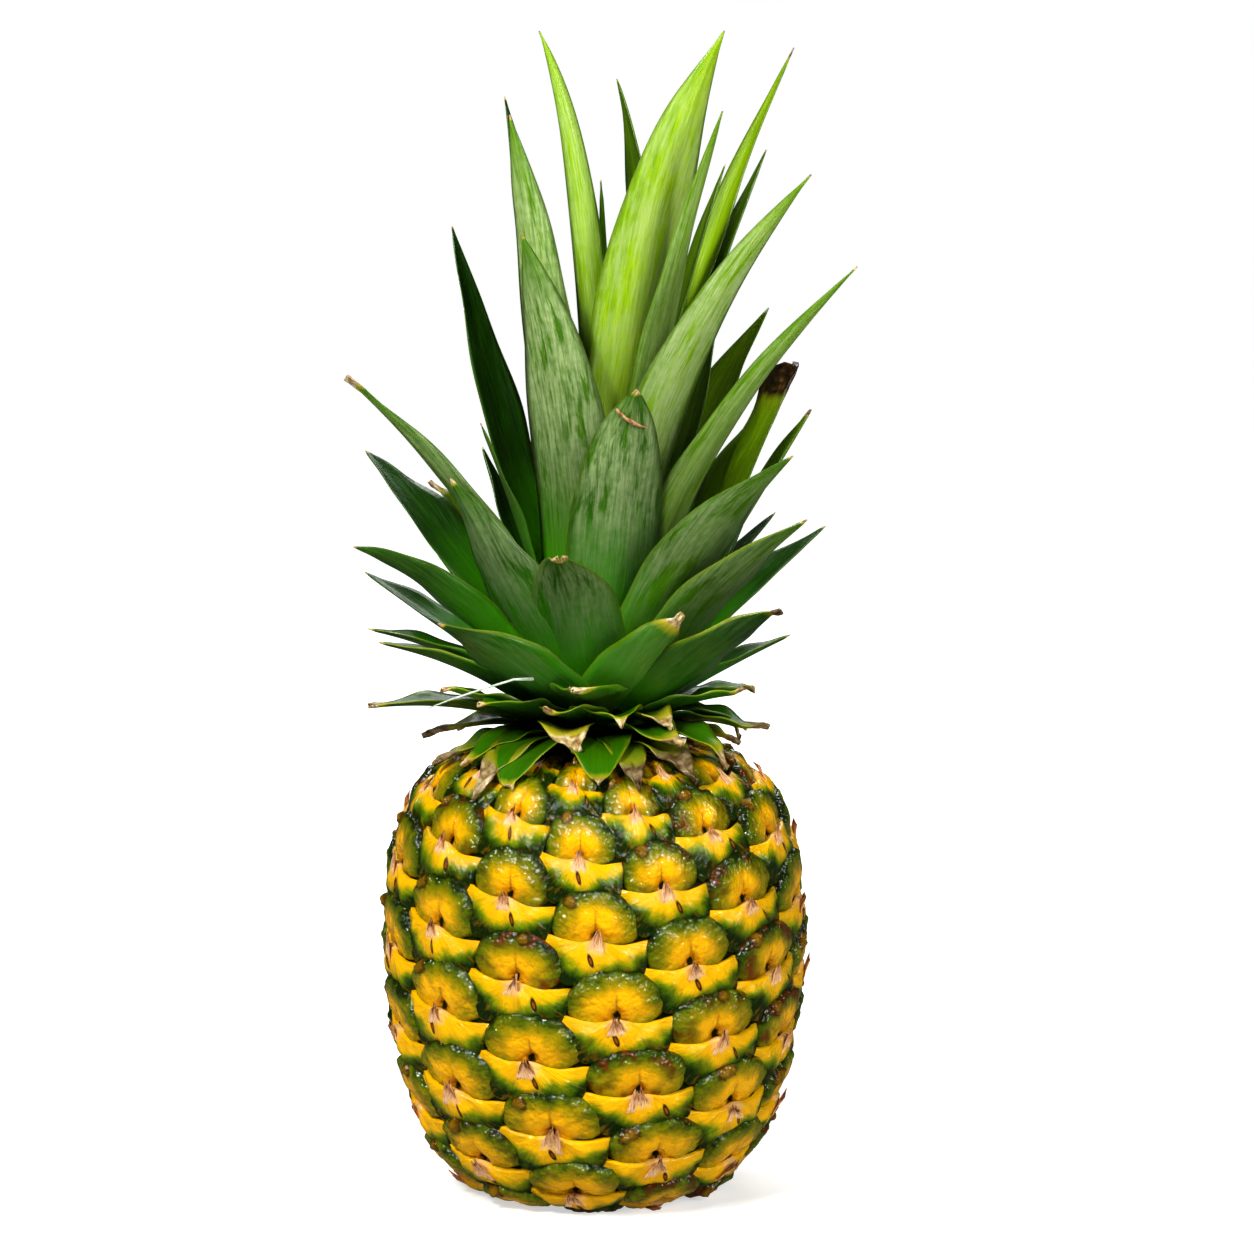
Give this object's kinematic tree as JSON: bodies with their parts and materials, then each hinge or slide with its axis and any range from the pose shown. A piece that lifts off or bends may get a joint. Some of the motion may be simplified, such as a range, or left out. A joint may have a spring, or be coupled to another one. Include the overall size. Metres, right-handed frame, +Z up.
{
  "type": "pineapple",
  "caption": "Whole ripe pineapple with its crown of leaves, standing upright: a barrel of domed fruitlets with bracts, and stiff channelled leaves above.",
  "frame": {"origin": "middle of the cut stalk end, on the surface that the fruit stands on", "axes": "+Z up along the fruit's axis to the crown, -Y towards the side that the picture shows, +X to its right"},
  "size_m": [0.1404, 0.1204, 0.3284],
  "materials": {
    "fruit_skin": "waxy, wet-looking skin: golden yellow middles and bracts, green domes, dark grooves",
    "leaf": "stiff leaf with fine lengthwise lines: pale bloom on the back, glossy green inside, dry tan tips",
    "cut_stalk": "dry cut fibres of the stalk end"
  },
  "bodies": {
    "root": {"fruit": "fruit_skin", "crown": "leaf", "stalk": "cut_stalk"}
  },
  "joints": []
}
